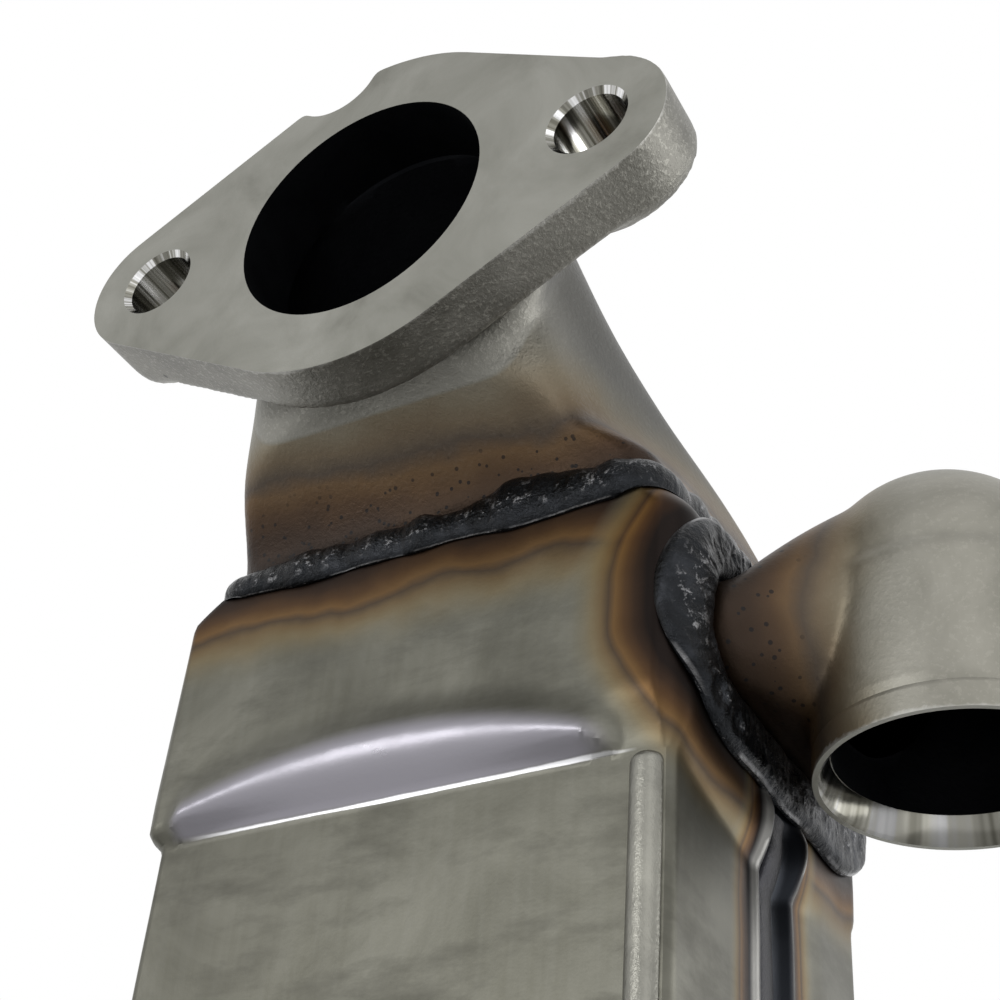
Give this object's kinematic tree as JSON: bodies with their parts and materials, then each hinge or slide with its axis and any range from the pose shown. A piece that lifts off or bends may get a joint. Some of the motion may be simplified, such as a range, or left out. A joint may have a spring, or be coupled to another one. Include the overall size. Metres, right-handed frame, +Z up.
{
  "type": "egr cooler",
  "caption": "Exhaust gas cooler: a long welded sheet shell round flat finned gas tubes, a cast flanged inlet elbow, turned coolant pipe ends and a flanged outlet cone.",
  "frame": {"origin": "centre of the gas inlet bore on its flange face", "axes": "+X along the inlet flange's bolt line, -Y out of the inlet flange, +Z up the core towards the inlet elbow"},
  "size_m": [0.198, 0.1068, 0.561],
  "materials": {
    "casting": "cast satin, grey",
    "shell": "satin stainless sheet",
    "core": "dull stainless sheet",
    "weld": "dark blued weld bead",
    "braze": "dark brazed seam"
  },
  "bodies": {
    "root": {"gas_inlet_elbow": "casting", "inlet_weld": "weld", "shell_front_half": "shell", "shell_rear_half": "shell", "seam_braze_right": "braze", "seam_braze_left": "braze", "coolant_outlet_elbow": "casting", "coolant_outlet_weld": "weld", "coolant_inlet_elbow": "casting", "coolant_inlet_weld": "weld", "header_plate_top": "core", "header_plate_bottom": "core", "gas_tube_1": "core", "gas_tube_2": "core", "gas_tube_3": "core", "gas_tube_4": "core", "gas_tube_5": "core", "gas_tube_6": "core", "gas_tube_7": "core", "gas_fin_1": "core", "gas_fin_2": "core", "gas_fin_3": "core", "gas_fin_4": "core", "gas_fin_5": "core", "gas_fin_6": "core", "gas_fin_7": "core", "tube_support_1": "core", "tube_support_2": "core", "tube_support_3": "core", "gas_outlet_cone": "casting", "outlet_weld": "weld"}
  },
  "joints": []
}
